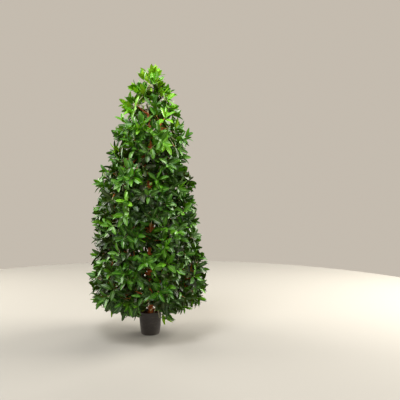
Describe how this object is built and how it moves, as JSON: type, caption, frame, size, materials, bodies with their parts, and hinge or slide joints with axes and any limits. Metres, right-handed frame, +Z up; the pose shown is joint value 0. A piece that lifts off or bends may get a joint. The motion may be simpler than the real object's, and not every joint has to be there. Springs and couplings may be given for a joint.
{
  "type": "artificial bay cone topiary",
  "caption": "Tall artificial bay cone topiary: sprays of glossy leaves on russet boughs and a crooked trunk, weighted in a small plain plant pot.",
  "frame": {"origin": "centre of the flat underside of the pot, on the ground", "axes": "+Z up the trunk; -Y towards the viewer of the picture, with +X to that viewer's right"},
  "size_m": [0.8378, 0.8438, 1.8284],
  "materials": {
    "pot": "matte",
    "filling": "rough",
    "dressing": "rough",
    "bark": "satin",
    "foliage": "satin"
  },
  "bodies": {
    "root": {"pot": "pot", "pot_fill": "filling", "top_dressing": "dressing", "trunk": "bark", "bough_01": "bark", "bough_02": "bark", "bough_03": "bark", "bough_04": "bark", "bough_05": "bark", "bough_06": "bark", "bough_07": "bark", "bough_08": "bark", "bough_09": "bark", "bough_10": "bark", "bough_11": "bark", "bough_12": "bark", "bough_13": "bark", "bough_14": "bark", "bough_15": "bark", "bough_16": "bark", "bough_17": "bark", "bough_18": "bark", "bough_19": "bark", "bough_20": "bark", "bough_21": "bark", "bough_22": "bark", "bough_23": "bark", "bough_24": "bark", "bough_25": "bark", "bough_26": "bark", "bough_27": "bark", "foliage_01": "foliage", "foliage_02": "foliage", "foliage_03": "foliage", "foliage_04": "foliage", "foliage_05": "foliage", "foliage_06": "foliage", "foliage_07": "foliage", "foliage_08": "foliage", "foliage_09": "foliage", "foliage_10": "foliage", "foliage_11": "foliage", "foliage_12": "foliage", "foliage_13": "foliage", "foliage_14": "foliage", "foliage_15": "foliage", "foliage_16": "foliage", "foliage_17": "foliage", "foliage_18": "foliage", "foliage_19": "foliage", "foliage_20": "foliage", "foliage_21": "foliage", "foliage_22": "foliage", "foliage_23": "foliage", "foliage_24": "foliage", "foliage_25": "foliage", "foliage_26": "foliage", "foliage_27": "foliage", "foliage_top": "foliage"}
  },
  "joints": []
}
